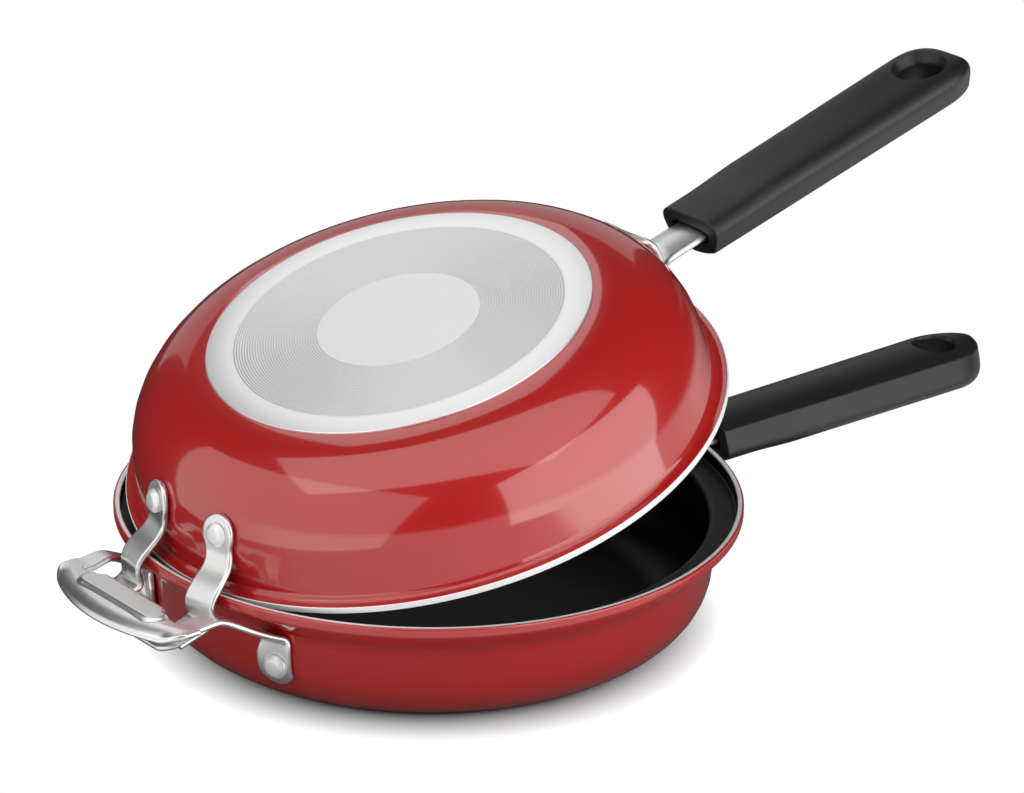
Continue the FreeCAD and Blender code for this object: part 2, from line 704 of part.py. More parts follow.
def main():
    pieces = build(LOWER, lower_shell(), lower_helper, S.lower_pad_rise, S.lower_pad_side,
                   S.lower_helper_head_radius)
    pieces += build(UPPER, upper_shell(), upper_helper, S.upper_depth - S.upper_pad_rise, S.upper_pad_side,
                    S.upper_helper_head_radius)
    doc.recompute()
    failed = [thing.Name for thing in doc.Objects if {"Invalid", "Error"} & set(thing.State)]
    bad = [piece.Label for piece in pieces if piece.Shape.isNull() or not piece.Shape.isValid()]
    split = [piece.Label for piece in pieces if len(piece.Shape.Solids) != 1]
    if failed or bad or split:
        raise RuntimeError(f"failed {failed}, not valid {bad}, not one solid {split}")
    os.makedirs("parts", exist_ok=True)
    for piece in pieces:
        piece.Shape.exportStep(f"parts/{piece.Label}.step")
        print(piece.Label, round(piece.Shape.Volume), piece.Shape.BoundBox)


main()
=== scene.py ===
"""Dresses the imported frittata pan: two enamelled pans, pressed steel helper handles and moulded grips.

Lengths are in millimetres until a mesh is made. The upper pan's pieces are worked out closed, and then
turned open.
"""
import math

import bpy
import numpy as np
from mathutils import Matrix, Quaternion, Vector


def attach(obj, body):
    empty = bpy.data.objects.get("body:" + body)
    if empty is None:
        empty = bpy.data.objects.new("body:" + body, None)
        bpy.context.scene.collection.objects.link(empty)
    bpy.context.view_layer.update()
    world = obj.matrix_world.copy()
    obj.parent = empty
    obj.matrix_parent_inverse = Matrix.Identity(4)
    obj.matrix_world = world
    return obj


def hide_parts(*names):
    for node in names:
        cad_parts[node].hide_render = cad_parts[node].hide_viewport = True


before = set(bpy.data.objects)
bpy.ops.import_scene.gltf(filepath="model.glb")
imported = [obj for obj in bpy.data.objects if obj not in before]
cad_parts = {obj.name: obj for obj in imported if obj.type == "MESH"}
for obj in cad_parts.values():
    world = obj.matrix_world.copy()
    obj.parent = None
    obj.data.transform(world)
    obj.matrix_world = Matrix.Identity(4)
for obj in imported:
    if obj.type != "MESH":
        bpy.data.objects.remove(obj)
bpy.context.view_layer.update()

MM = 0.001
AROUND = 192
SHARP = math.radians(40)
BACK, FRONT = -1, 1
BLACK, WHITE = (0, 0, 0, 1), (1, 1, 1, 1)

# The pans
WALL = 2.8
DISC_STEP = 0.8
EDGE_BREAK = 0.35
CENTRE_RADIUS = 33.0
GROOVE_END = 67.3
GROOVES = 32
GROOVE_DEPTH = 0.11
RIM_RADIUS = 127.0
RIM_UNDER, RIM_FOOT = 37.5, 47.4
LIP_RADIUS = 124.4
LOWER_DEPTH = 51.5
LEDGE = 46.2
STEP_BEND = 3.0
UPPER_DEPTH = 52.1
UPPER_RIM_RADIUS = 123.2
UPPER_BASE_LEVEL = 98.6
UPPER_FLARE = 3.0

# The hinge line, and the tilt of the rest pose
HINGE_X, HINGE_Z = -122.2, 57.75
OPEN_ANGLE = math.radians(16.2)

# The helper handles
SEAT = 0.1
GAUGE = 2.5
PLATE_X, PLATE_Z = -151.0, 47.0
PLATE_HALF, PLATE_CORNER = 42.0, 7.0
PLATE_OUTER, PLATE_INNER, PLATE_BOW = 13.2, 9.4, 0.0064
PLATE_EDGE, PLATE_EDGE_DROP = 8.0, 2.8
PANEL_HALF, PANEL_OFFSET, PANEL_HEIGHT = 20.0, 2.0, 1.3
WINDOW_DEPTH = 4.2
PAD_SIDE, PAD_END = 42.5, 8.2
STRAP_SIDE, STRAP_HALF, STRAP_SPLAY = 20.0, 7.8, 3.0
STRAP_X = -132.5
HOOK_BEND = 3.3
HOOK_LEVEL = PLATE_Z - HOOK_BEND
TONGUE_FRONT, TONGUE_END = -144.0, -155.4
TONGUE_HALF, TONGUE_CORNER = 29.5, 12.0

# The long handles
TANG_GAUGE = 3.0
TANG_DISTANCE = 9.5
RIDGE_HEIGHT, RIDGE_WIDTH = 1.1, 17.0
PARTING = 48.0
GRIP_FRONT, GRIP_END, GRIP_TAIL = 148.5, 308.5, 23.0
GRIP_FRONT_ROUND = 1.1
GRIP_HALF, GRIP_WIDENING = 17.5, 2.5
GRIP_CREASE, GRIP_BACK, GRIP_SWELL = 3.2, 14.4, 1.1
CROWN_HEIGHT, CROWN_SHARE = 2.9, 0.77
HANG_HOLE_X, HANG_HOLE_RADIUS = 286.0, 9.5

# The rivets
HANDLE_RIVET_SIDE = 11.0
SHANK_RADIUS = 2.5
DOME_RADIUS, DOME_HEIGHT = 4.2, 1.7


def opened(points):
    """Closed points turned about the hinge line by the opening angle."""
    x, z = points[..., 0] - HINGE_X, points[..., 2] - HINGE_Z
    c, s = math.cos(OPEN_ANGLE), math.sin(OPEN_ANGLE)
    return np.stack([HINGE_X + x * c - z * s, points[..., 1], HINGE_Z + x * s + z * c], axis=-1)


def still(points):
    """The lower pan's pieces stay where they are worked out."""
    return points


LOWER = {"name": "lower", "bend": 25.6, "draft": math.radians(1.3), "base_radius": 89.58, "base_level": 0.0,
         "disc": 79.8, "up": 1, "place": still}
UPPER = {"name": "upper", "bend": 38.2, "draft": math.radians(8.0), "base_radius": 78.44,
         "base_level": UPPER_BASE_LEVEL, "disc": 78.14, "up": -1, "place": opened}


def smooth_step(low, high, value):
    """0 below low, 1 above high, and 3k^2 - 2k^3 between them."""
    share = np.clip((np.asarray(value, float) - low) / (high - low), 0, 1)
    return share * share * (3 - 2 * share)


def superellipse(u, power):
    """The height (1 - u^p)^(1/p) at a share u of the half width."""
    return (1 - u ** power) ** (1 / power)


def rounded(corners, steps=10):
    """An outline through (r, z, radius, finish) corners, with an arc tangent to both sides at each corner.

    The arc's centre lies on the bisector, radius / sin(half angle) away, and its points swing evenly from
    one side's foot to the other's. Gives the points, and the finish of the outline after each of them.
    """
    points, finishes = [], []
    for index, (r, z, radius, finish) in enumerate(corners):
        corner = np.array([r, z])
        if radius == 0 or index in (0, len(corners) - 1):
            points.append(corner[None])
            finishes.append([finish])
            continue
        before = np.array(corners[index - 1][:2]) - corner
        after = np.array(corners[index + 1][:2]) - corner
        before, after = before / np.linalg.norm(before), after / np.linalg.norm(after)
        half = math.acos(np.clip(before @ after, -1, 1)) / 2
        centre = corner + (before + after) / np.linalg.norm(before + after) * radius / math.sin(half)
        start = (corner + before * radius / math.tan(half) - centre) / radius
        end = (corner + after * radius / math.tan(half) - centre) / radius
        swing = math.pi - 2 * half
        share = np.linspace(0, 1, steps)[:, None]
        blend = np.sin((1 - share) * swing) * start + np.sin(share * swing) * end
        points.append(centre + radius * blend / math.sin(swing))
        finishes.append([finish] * steps)
    return np.vstack(points), np.concatenate(finishes)


def spline(rows, count):
    """The uniform cubic B-spline of control rows, drawn out so that it starts and ends at the end rows."""
    rows = np.asarray(rows, float)
    rows = np.vstack([2 * rows[0] - rows[1], rows, 2 * rows[-1] - rows[-2]])
    place = np.linspace(0, len(rows) - 3, count)
    span = np.minimum(place.astype(int), len(rows) - 4)
    t = (place - span)[:, None]
    weights = [(1 - t) ** 3, 3 * t ** 3 - 6 * t ** 2 + 4, -3 * t ** 3 + 3 * t ** 2 + 3 * t + 1, t ** 3]
    return sum(weight * rows[span + shift] for shift, weight in enumerate(weights)) / 6


def shade(mesh):
    """Shades a mesh smooth, but for edges sharper than SHARP."""
    mesh.polygons.foreach_set("use_smooth", np.ones(len(mesh.polygons), bool))
    mesh.set_sharp_from_angle(angle=SHARP)


def add(name, data):
    """An object of a mesh, lamp or camera, linked to the scene."""
    made = bpy.data.objects.new(name, data)
    bpy.context.scene.collection.objects.link(made)
    return made


def skin(name, rings, ends, zones=None, reach=None):
    """A closed mesh: quads between closed rings of points, and a fan from each end point to its ring.

    zones gives the finish number of the first fan, of each gap between rings, and of the last fan. reach
    gives each ring's distance from the axis. If the signed volume comes out negative, every face is turned
    round, so that all faces point outwards.
    """
    count, around = rings.shape[:2]
    points = np.vstack([rings.reshape(-1, 3), ends])
    row, column = np.meshgrid(np.arange(count - 1), np.arange(around), indexing="ij")
    here, beside = row * around + column, row * around + (column + 1) % around
    quads = np.stack([here, beside, beside + around, here + around], axis=-1).reshape(-1, 4)
    first = np.arange(around)
    following = (first + 1) % around
    last = (count - 1) * around
    start_point, end_point = np.full(around, count * around), np.full(around, count * around + 1)
    fans = np.vstack([np.stack([following, first, start_point], axis=-1),
                      np.stack([last + first, last + following, end_point], axis=-1)])
    triangles = np.vstack([quads[:, :3], quads[:, [0, 2, 3]], fans])
    a, b, c = (points[triangles[:, corner]] for corner in range(3))
    if np.einsum("ij,ij->", a, np.cross(b, c)) < 0:
        quads, fans = quads[:, ::-1], fans[:, ::-1]
    mesh = bpy.data.meshes.new(name)
    mesh.from_pydata(points * MM, [], quads.tolist() + fans.tolist())
    if zones is not None:
        numbers = np.concatenate([np.repeat(zones[1:-1], around), np.repeat(zones[[0, -1]], around)])
        mesh.polygons.foreach_set("material_index", numbers.astype(np.int32))
    if reach is not None:
        values = np.concatenate([np.repeat(reach[1:-1], around), reach[[0, -1]]])
        kept = mesh.attributes.new("reach", "FLOAT", "POINT")
        kept.data.foreach_set("value", values.astype(np.float32))
    shade(mesh)
    return add(name, mesh)


def capped(name, rings, place):
    """A skin over rings set in place, closed at the middle of its first and last ring."""
    return skin(name, place(rings), place(rings[[0, -1]].mean(axis=1)))


def turned(name, profile, zones, place, around=AROUND):
    """A surface of revolution, set in place.

    Profile point (r, z) goes to (r cos a, r sin a, z) for each angle a.
    """
    angle = np.linspace(0, 2 * np.pi, around, endpoint=False)
    radius, height = profile[1:-1, :1], profile[1:-1, 1:]
    rings = np.stack([radius * np.cos(angle), radius * np.sin(angle), height + 0 * angle], axis=-1)
    ends = np.array([[0, 0, profile[0, 1]], [0, 0, profile[-1, 1]]])
    return skin(name, place(rings), place(ends), zones, profile[:, 0])


def strip(name, path, across, inner, outer, gauge, form, place):
    """Pressed sheet: a stadium-shaped section carried along a path.

    At each station the section runs from -inner to outer along the across direction, with half rounds of
    half the gauge at its edges. form(q) lifts the sheet along its normal, at a distance q across.
    """
    along = np.gradient(path, axis=0)
    normal = np.cross(along, across)
    normal /= np.linalg.norm(normal, axis=1, keepdims=True)
    flat = np.linspace(-1, 1, 56)
    bend = np.linspace(np.pi / 2, -np.pi / 2, 10)[1:-1]
    one = np.ones(len(bend))
    side = np.concatenate([flat, one, -flat, -one])
    wide = np.concatenate([0 * flat, np.cos(bend), 0 * flat, -np.cos(bend)])
    tall = np.concatenate([1 + 0 * flat, np.sin(bend), -1 + 0 * flat, -np.sin(bend)])
    round_edge = (np.broadcast_to(gauge, len(path)) / 2)[:, None]
    half = np.maximum((inner + outer)[:, None] / 2 - round_edge, 0.01)
    q = (outer - inner)[:, None] / 2 + half * side + round_edge * wide
    lift = round_edge * tall + form(q)
    rings = path[:, None] + across[:, None] * q[..., None] + normal[:, None] * lift[..., None]
    return capped(name, rings, place)


def dress(piece, pan, node, slot, *finishes):
    """Gives a piece its finishes and its body, and hides the CAD part of the node that it stands for."""
    for finish in finishes:
        piece.data.materials.append(finish)
    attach(piece, pan["name"])
    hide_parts(f"{pan['name']}_{node}")
    return piece


def joined(name, *pieces):
    """One object that holds the closed shells of several."""
    with bpy.context.temp_override(active_object=pieces[0], selected_editable_objects=list(pieces)):
        bpy.ops.object.join()
    pieces[0].name = pieces[0].data.name = name
    return pieces[0]


def carve(piece, *cutters):
    """Cuts the cutters out of a piece, and leaves it a plain mesh."""
    for cutter in cutters:
        tool = piece.modifiers.new("cut", "BOOLEAN")
        tool.object = cutter
        tool.solver = "EXACT"
    shape = piece.evaluated_get(bpy.context.evaluated_depsgraph_get())
    mesh = bpy.data.meshes.new_from_object(shape)
    piece.modifiers.clear()
    piece.data = mesh
    shade(mesh)
    for cutter in cutters:
        bpy.data.objects.remove(cutter)


def level(pan, rise):
    """Heights at rises from a pan's base, upwards for the lower pan and downwards for the upper one."""
    return pan["base_level"] + pan["up"] * np.asarray(rise, float)


def away(pan, distance):
    """A height at a distance from the parting plane, on a pan's own side."""
    return PARTING - pan["up"] * distance


def wall_foot(pan):
    """The rise at which the bend above the base gives way to the straight wall."""
    return DISC_STEP + pan["bend"] - pan["bend"] * math.sin(pan["draft"])


def wall_line(pan, rise, offset=0.0):
    """The straight wall's radius at a rise, carried on past its ends. offset moves the face outwards."""
    draft, bend = pan["draft"], pan["bend"]
    drawn = (rise - wall_foot(pan)) * math.tan(draft)
    return pan["base_radius"] + bend * math.cos(draft) + drawn + offset / math.cos(draft)


def outside(pan, rise, offset=0.0):
    """The outer face's radius at a rise: the bend's circle below the wall's foot, then the wall.

    Also gives the angle below level that the face looks towards. offset moves the face outwards.
    """
    bend = pan["bend"]
    rise = np.asarray(rise, float)
    depth = np.clip(DISC_STEP + bend - rise, 0, bend)
    on_bend = pan["base_radius"] + np.sqrt(np.maximum((bend + offset) ** 2 - depth ** 2, 0))
    below = rise < wall_foot(pan)
    lean = np.where(below, np.arcsin(np.clip(depth / bend, 0, 1)), pan["draft"])
    return np.where(below, on_bend, wall_line(pan, rise, offset)), lean


def on_wall(pan, rise, side, end, offset=0.0):
    """A point on a pan's outer face, a distance side from the XZ plane, moved outwards by offset."""
    radius, _ = outside(pan, rise, offset)
    return np.array([end * math.sqrt(radius ** 2 - side ** 2), side, float(level(pan, rise))])


def base_profile(disc):
    """The bare base from its axis out: a plain centre, squared-cosine grooves, and a broken-edged ring."""
    groove = np.linspace(0, GROOVES, GROOVES * 6 + 1)
    radius = CENTRE_RADIUS + (GROOVE_END - CENTRE_RADIUS) * groove / GROOVES
    depth = GROOVE_DEPTH * (0.5 - 0.5 * np.cos(2 * np.pi * groove)) ** 2
    edge, _ = rounded([(GROOVE_END + 0.8, 0, 0, 0), (disc, 0, EDGE_BREAK, 0), (disc, DISC_STEP, 0, 0)], 6)
    start = np.array([[0, 0], [CENTRE_RADIUS * 0.5, 0], [CENTRE_RADIUS - 0.6, 0]])
    return np.vstack([start, np.stack([radius, depth], axis=-1), edge])


ENAMEL, NONSTICK, BARE_RIM, TURNED_BASE = range(4)


def lower_outline():
    """The lower pan's corners, as (radius, rise, corner radius, finish after it), up the outside first."""
    floor = DISC_STEP + WALL
    return [(LOWER["disc"] + 0.05, DISC_STEP, 0, ENAMEL),
            (wall_line(LOWER, DISC_STEP), DISC_STEP, LOWER["bend"], ENAMEL),
            (wall_line(LOWER, RIM_UNDER), RIM_UNDER, 8.0, ENAMEL),
            (RIM_RADIUS, RIM_FOOT, 2.2, ENAMEL),
            (RIM_RADIUS, LOWER_DEPTH, 0.7, ENAMEL),
            (RIM_RADIUS - 0.9, LOWER_DEPTH, 0, BARE_RIM),
            (LIP_RADIUS, LOWER_DEPTH, 0.5, BARE_RIM),
            (LIP_RADIUS, LOWER_DEPTH - 0.8, 0, NONSTICK),
            (LIP_RADIUS, LEDGE, 0.8, NONSTICK),
            (wall_line(LOWER, LEDGE, -WALL), LEDGE, STEP_BEND, NONSTICK),
            (wall_line(LOWER, floor, -WALL), floor, LOWER["bend"] - WALL, NONSTICK),
            (0, floor, 0, NONSTICK)]


def upper_outline():
    """The upper pan's corners in the same form, with its rises measured down from its base."""
    face, floor = UPPER_DEPTH - WALL, DISC_STEP + WALL
    return [(UPPER["disc"] + 0.05, DISC_STEP, 0, ENAMEL),
            (wall_line(UPPER, DISC_STEP), DISC_STEP, UPPER["bend"], ENAMEL),
            (wall_line(UPPER, face), face, UPPER_FLARE, ENAMEL),
            (UPPER_RIM_RADIUS, face, EDGE_BREAK, BARE_RIM),
            (UPPER_RIM_RADIUS, UPPER_DEPTH, EDGE_BREAK, NONSTICK),
            (wall_line(UPPER, UPPER_DEPTH, -WALL), UPPER_DEPTH, UPPER_FLARE + WALL, NONSTICK),
            (wall_line(UPPER, floor, -WALL), floor, UPPER["bend"] - WALL, NONSTICK),
            (0, floor, 0, NONSTICK)]


def pan_shell(pan, corners):
    """A pan turned from its base profile and then its rounded outline, up the outside and down the inside."""
    base = base_profile(pan["disc"])
    points, finishes = rounded(corners)
    profile = np.vstack([base, points])
    zones = np.concatenate([np.full(len(base) - 1, TURNED_BASE), [ENAMEL], finishes[:-1]])
    profile[:, 1] = level(pan, profile[:, 1])
    piece = turned(pan["name"] + "_pan_shell", profile, zones, pan["place"])
    return dress(piece, pan, "pan", "pan_shell", enamel, nonstick, bare_rim, turned_base)


def seat(pan, rise, side, end):
    """A fastener's place on the outer face, and the outward direction that is square to the face there."""
    radius, lean = outside(pan, rise)
    spread = math.asin(side / radius)
    outward = np.array([end * math.cos(spread) * math.cos(lean), math.sin(spread) * math.cos(lean),
                        -pan["up"] * math.sin(lean)])
    return on_wall(pan, rise, side, end), outward


def rivet(pan, where, hand, rise, side, end, gauge, head):
    """A turned rivet, set square to the wall.

    It has a button head outside, chamfered round a slightly domed top, and a low elliptical dome inside.
    """
    place_of, outward = seat(pan, rise, side, end)
    inner, outer = -(WALL + 0.15), SEAT + gauge + 0.02
    low = np.linspace(0, np.pi / 2, 12)
    dome = np.stack([DOME_RADIUS * np.sin(low), inner - DOME_HEIGHT * np.cos(low)], axis=-1)
    button, _ = rounded([(SHANK_RADIUS, inner, 0, 0), (SHANK_RADIUS, outer, 0, 0), (head, outer, 0, 0),
                         (head, outer + 1.0, 0.5, 0), (head * 0.66, outer + 2.3, 1.4, 0),
                         (0, outer + 2.6, 0, 0)], 6)
    first = np.cross(outward, [0, 0, 1.0])
    first /= np.linalg.norm(first)
    second = np.cross(outward, first)

    def set_square(points):
        return pan["place"](place_of + points @ np.stack([first, second, outward]))

    node = f"{where}_rivet_{hand}"
    piece = turned(f"{pan['name']}_{node}_head", np.vstack([dome, button]), None, set_square, 48)
    return dress(piece, pan, node, "rivet", rivet_metal)


def round_end(path, radius):
    """Half-width of a round end at the start of a path: the circle's sqrt(R^2 - (R - d)^2), then R.

    Also gives the distance d along the path.
    """
    distance = np.concatenate([[0], np.cumsum(np.linalg.norm(np.diff(path, axis=0), axis=1))])
    return np.sqrt(np.maximum(radius ** 2 - np.maximum(radius - distance, 0) ** 2, 0.04)), distance


def on_side(rows, lean, sign):
    """A leg's path on one side of the XZ plane, and its across direction, whose X part is lean."""
    return rows * [1, sign, 1], np.column_stack([lean, sign * np.sqrt(1 - lean ** 2), 0 * lean])


def helper_plate():
    """A bowed plate with a raised panel, a turned-down outer edge, and windows cut from its inner edge.

    The outer edge is a parabola across the plate, and both edges fall away in a quarter ellipse at the ends.
    """
    y = np.sin(np.linspace(-np.pi / 2, np.pi / 2, 241)) * PLATE_HALF
    side = np.abs(y)
    path = np.stack([0 * y + PLATE_X, y, 0 * y + PLATE_Z], axis=-1)
    across = np.broadcast_to([-1.0, 0, 0], path.shape)
    into_corner = np.maximum(side - (PLATE_HALF - PLATE_CORNER), 0) / PLATE_CORNER
    cut = 1 - np.sqrt(np.clip(1 - into_corner ** 2, 0.002, 1))
    outer = PLATE_OUTER - PLATE_BOW * y ** 2 - 5.0 * cut
    window = smooth_step(17.0, 22.5, side) - smooth_step(31.5, 36.0, side)
    inner = PLATE_INNER - WINDOW_DEPTH * window - 1.4 * cut
    into_end = np.maximum(side - (PLATE_HALF - GAUGE / 2), 0) / (GAUGE / 2)
    gauge = GAUGE * np.sqrt(np.clip(1 - into_end ** 2, 0.02, 1))

    def pressed(q):
        """A stadium-shaped panel with soft sides, and a parabola down over the last stretch to the edge."""
        from_line = np.hypot(np.maximum(side - PANEL_HALF, 0)[:, None], q + PANEL_OFFSET)
        panel = 1 - smooth_step(4.4, 7.0, from_line)
        into_edge = np.maximum(q - outer[:, None] + PLATE_EDGE, 0) / PLATE_EDGE
        kept = 1 - smooth_step(33.0, 42.0, side)[:, None]
        return PANEL_HEIGHT * panel - PLATE_EDGE_DROP * into_edge ** 2 * kept

    return strip("plate", path, across, inner, outer, gauge, pressed, still)


def helper_leg(sign):
    """A leg: a B-spline from a round-ended pad that is bowed to the wall, up a slope and under the plate."""
    rises = (15.8, 18.5, 21.5, 24.5, 27.5, 30.5, 33.0, 34.6)
    pad = [on_wall(LOWER, rise, PAD_SIDE, BACK, SEAT + GAUGE / 2) for rise in rises]
    slope = [(-109.4, 42.4, 35.9), (-111.6, 42.1, 36.9), (-115.0, 41.6, 38.5), (-119.5, 40.9, 40.9),
             (-124.0, 40.0, 43.4), (-128.5, 39.2, 46.0), (-132.4, 38.7, 47.8), (-136.5, 38.5, 47.5),
             (-141.0, 38.4, 47.1), (-146.0, 38.2, 46.95)]
    rows = np.array([*pad, *slope])
    place = np.arange(len(rows))
    lean = np.interp(place, [0, 8, 14], [0.369, 0.369, 0])
    inward = np.interp(place, [0, 3, 5, 6, 9, 12, 15, 17], [9.0, 9.0, 7.6, 6.4, 6.0, 4.6, 7.0, 9.0])
    outward = np.interp(place, [0, 6, 8, 10, 13, 17], [7.0, 7.0, 6.2, 5.2, 2.6, 2.6])
    made = spline(np.column_stack([rows, lean, inward, outward]), 150)
    path, across = on_side(made[:, :3], made[:, 3], sign)
    end, distance = round_end(path, PAD_END)
    bow = sign * (1 - smooth_step(14, 20, distance))[:, None] / 230.0
    gauge = GAUGE - 0.12 * smooth_step(0, 8, distance - distance[-1] + 9)
    inner, outer = np.minimum(made[:, 4], end), np.minimum(made[:, 5], end)
    return strip("leg", path, across, inner, outer, gauge, lambda q: bow * q ** 2, still)


def lower_helper():
    """The lower pan's loop: the plate on its two legs."""
    piece = joined("lower_helper_plate", helper_plate(), helper_leg(1), helper_leg(-1))
    return dress(piece, LOWER, "helper_handle", "polished_steel", polished_steel)


def hook_tongue():
    """The flat tongue below the plate, with circular corners and thinned ends."""
    x = np.linspace(TONGUE_FRONT, TONGUE_END, 28)
    path = np.stack([x, 0 * x, 0 * x + HOOK_LEVEL], axis=-1)
    across = np.broadcast_to([0, 1.0, 0], path.shape)
    into_corner = np.maximum(TONGUE_FRONT - 0.5 - x, 0)
    corner = np.sqrt(np.maximum(TONGUE_CORNER ** 2 - into_corner ** 2, 0.2))
    half = TONGUE_HALF - TONGUE_CORNER + corner
    from_end = np.minimum(np.arange(len(x)), np.arange(len(x))[::-1])
    gauge = GAUGE * np.array([0.35, 0.8, 0.95, 1.0])[np.minimum(from_end, 3)]
    return strip("tongue", path, across, half, half, gauge, lambda q: 0 * q, opened)


def hook_strap(sign):
    """A strap: a B-spline from a pad on the wall, down inside the plate, and round a bend to the tongue."""
    rises = (19.4, 22.0, 25.0, 28.0, 31.0, 33.4)
    pad = [on_wall(UPPER, rise, STRAP_SIDE, BACK, SEAT + GAUGE / 2) for rise in rises]
    turn = np.linspace(-np.pi / 8, -np.pi / 2, 4)
    curl = np.column_stack([STRAP_X + HOOK_BEND * (np.cos(turn) - 1), PLATE_Z + HOOK_BEND * np.sin(turn)])
    run = np.array([(-116.9, 62.7), (-118.7, 60.5), (-121.5, 58.6), (-125.3, 56.9), (-129.0, 54.9),
                    (-131.7, 52.4), (-132.7, 49.8), *curl, (STRAP_X - HOOK_BEND - 3, HOOK_LEVEL),
                    (-143.0, HOOK_LEVEL), (-149.0, HOOK_LEVEL)])
    rows = np.vstack([pad, np.column_stack([run[:, 0], np.full(len(run), STRAP_SIDE), run[:, 1]])])
    place = np.arange(len(rows))
    rows[:, 1] += np.interp(place, [5, 10], [0, STRAP_SPLAY])
    lean = np.interp(place, [0, 12, 15], [0.174, 0.174, 0])
    made = spline(np.column_stack([rows, lean]), 150)
    path, across = on_side(made[:, :3], made[:, 3], sign)
    end, distance = round_end(path, STRAP_HALF)
    waist = 1.0 * smooth_step(9, 14, distance) - 0.8 * smooth_step(18, 30, distance)
    half = np.minimum(end, STRAP_HALF - waist)
    bow = -sign * (1 - smooth_step(14, 22, distance))[:, None] / 228.0
    gauge = GAUGE - 0.14 * smooth_step(0, 6, distance - distance[-1] + 9)
    return strip("strap", path, across, half, half, gauge, lambda q: bow * q ** 2, opened)


def upper_helper():
    """The upper pan's hook: two straps that join at the tongue."""
    piece = joined("upper_helper_hook", hook_tongue(), hook_strap(1), hook_strap(-1))
    return dress(piece, UPPER, "helper_handle", "polished_steel", polished_steel)


def handle_bracket(pan):
    """A flange on the wall that bends out along a B-spline into a tang, whose end is inside the grip."""
    rises = (away(pan, np.array([27.3, 24.0, 20.5, 17.0, 14.0])) - pan["base_level"]) * pan["up"]
    flange = np.array([on_wall(pan, rise, 0.0, FRONT, SEAT + TANG_GAUGE / 2) for rise in rises])
    bend = flange[-1] + np.array([[0.4, 0, pan["up"] * 2.8], [3.6, 0, pan["up"] * 4.5]])
    tang = np.array([(x, 0.0, away(pan, TANG_DISTANCE)) for x in (124.0, 129.0, 136.0, 150.0, 170.0, 193.0)])
    rows = np.vstack([flange, bend, tang])
    half = np.interp(np.arange(len(rows)), [0, 4, 6, 8, 12], [17.0, 17.0, 13.5, 9.5, 9.5])
    made = spline(np.column_stack([rows, half]), 120)
    path = made[:, :3]
    across = np.broadcast_to([0, 1.0, 0], path.shape)
    end, distance = round_end(path, 5.0)
    half = np.minimum(made[:, 3], 12.0 + end)
    radius, _ = outside(pan, 30.0)
    bow = (1 - smooth_step(12, 19, distance))[:, None] / (2 * radius)
    ridge = RIDGE_HEIGHT * (smooth_step(20, 30, distance) * (1 - smooth_step(52, 60, distance)))[:, None]

    def pressed(q):
        """The wall's bow on the flange, and a cosine ridge along the tang."""
        return -pan["up"] * (bow * q ** 2 + ridge * np.cos(np.pi * np.clip(q / RIDGE_WIDTH, -0.5, 0.5)))

    piece = strip(pan["name"] + "_tang", path, across, half, half, TANG_GAUGE, pressed, pan["place"])
    return dress(piece, pan, "handle_bracket", "polished_steel", polished_steel)


def eased(values):
    """A 1 : 2 : 1 average round each closed section."""
    return (np.roll(values, 1, axis=1) + 2 * values + np.roll(values, -1, axis=1)) / 4


def grip(pan):
    """A moulded bar along X: a shallow arc towards the other grip, then sides that swell and close behind.

    The arc's half-angle is 2 atan(height / half chord), and the sides and back are a B-spline of shares of
    the half width and depth. Behind the front the bar thickens a little. Towards the end the half width
    falls as a superellipse, and the heights as a squarer one. Averaging the section eases its creases.
    """
    tail = GRIP_END - GRIP_TAIL
    quarter = np.pi / 2
    front = GRIP_FRONT + GRIP_FRONT_ROUND * (1 - np.cos(np.linspace(0, quarter, 6)))
    middle = np.linspace(GRIP_FRONT + 3, tail, 60)
    closing = tail + GRIP_TAIL * np.sin(np.linspace(0, quarter, 40))[1:-1]
    x = np.concatenate([front, middle, closing, [GRIP_END - 0.004]])[:, None]
    into_front = (GRIP_FRONT + GRIP_FRONT_ROUND - x).clip(0) / GRIP_FRONT_ROUND
    edge = 0.9 * (1 - np.sqrt(np.clip(1 - into_front ** 2, 0, 1)))
    u = np.clip((x - tail) / GRIP_TAIL, 0, 1)
    tall = superellipse(u, 3.2)
    widening = GRIP_WIDENING * (x - GRIP_FRONT) / (GRIP_END - GRIP_FRONT)
    half = (GRIP_HALF + widening - edge) * superellipse(u, 2.1)
    crown = (CROWN_HEIGHT - 0.4 * edge) * tall
    back = (GRIP_BACK + GRIP_SWELL * smooth_step(162, 190, x) - edge) * tall
    share = np.linspace(-1, 1, 61)[1:-1]
    chord = CROWN_SHARE * half
    swing = 2 * np.arctan2(crown, chord)
    over = chord * np.sin(share * swing) / np.sin(swing)
    rise = chord * (np.cos(share * swing) - np.cos(swing)) / np.sin(swing)
    under = spline([(0.785, 0.01), (0.83, 0.15), (0.89, 0.34), (0.96, 0.56), (0.98, 0.78), (0.8, 0.98),
                    (0.42, 1.0), (0, 1.0)], 40)
    under = np.vstack([under, under[-2::-1] * [-1, 1]])
    y = eased(np.concatenate([over, half * under[:, 0]], axis=1))
    distance = eased(np.concatenate([GRIP_CREASE - rise, GRIP_CREASE + back * under[:, 1]], axis=1))
    rings = np.stack([x + 0 * y, y, away(pan, distance)], axis=-1)
    piece = capped(pan["name"] + "_grip_moulding", rings, pan["place"])
    carve(piece, hang_hole(pan), tang_pocket(pan))
    return dress(piece, pan, "grip", "grip", phenolic)


